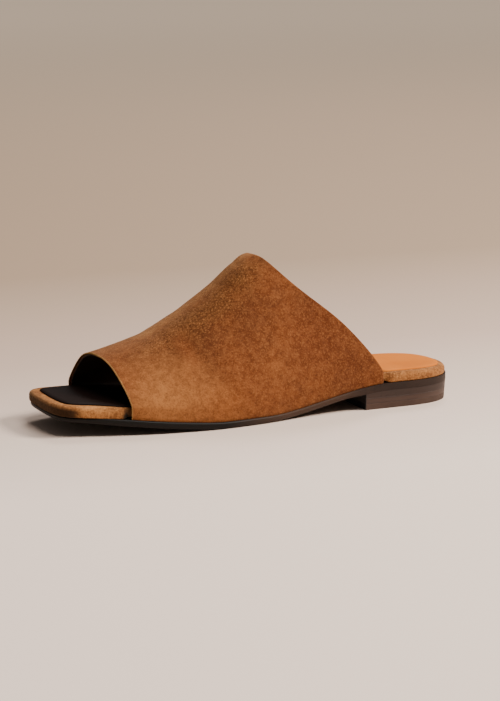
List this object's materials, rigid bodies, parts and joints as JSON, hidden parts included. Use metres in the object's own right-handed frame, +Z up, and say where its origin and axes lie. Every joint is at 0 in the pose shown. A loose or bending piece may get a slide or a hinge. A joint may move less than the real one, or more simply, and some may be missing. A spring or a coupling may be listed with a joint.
{
  "type": "mule shoe",
  "caption": "Open-toe, open-heel leather mule with one wide suede band, wrapped square-toe footbed and low stacked heel.",
  "frame": {"origin": "on the floor under the middle of the shoe's bounding box", "axes": "+X from heel to toe, +Y to the outer side of the left foot, +Z up"},
  "size_m": [0.2588, 0.0824, 0.0935],
  "materials": {
    "suede": "tan brown suede with a short nap",
    "wrap_suede": "light tan suede wrapped round the footbed's edge",
    "sock_leather": "smooth orange-tan leather, satin",
    "outsole_rubber": "near-black satin resin rubber",
    "stacked_leather": "dark brown stacked leather with fine lift lines",
    "heel_rubber": "dark brown rubber, matt"
  },
  "bodies": {
    "root": {"upper": "suede", "footbed": "wrap_suede", "sock": "sock_leather", "outsole": "outsole_rubber", "heel_upper_lift": "stacked_leather", "heel_lower_lift": "stacked_leather", "heel_top_piece": "heel_rubber"}
  },
  "joints": []
}
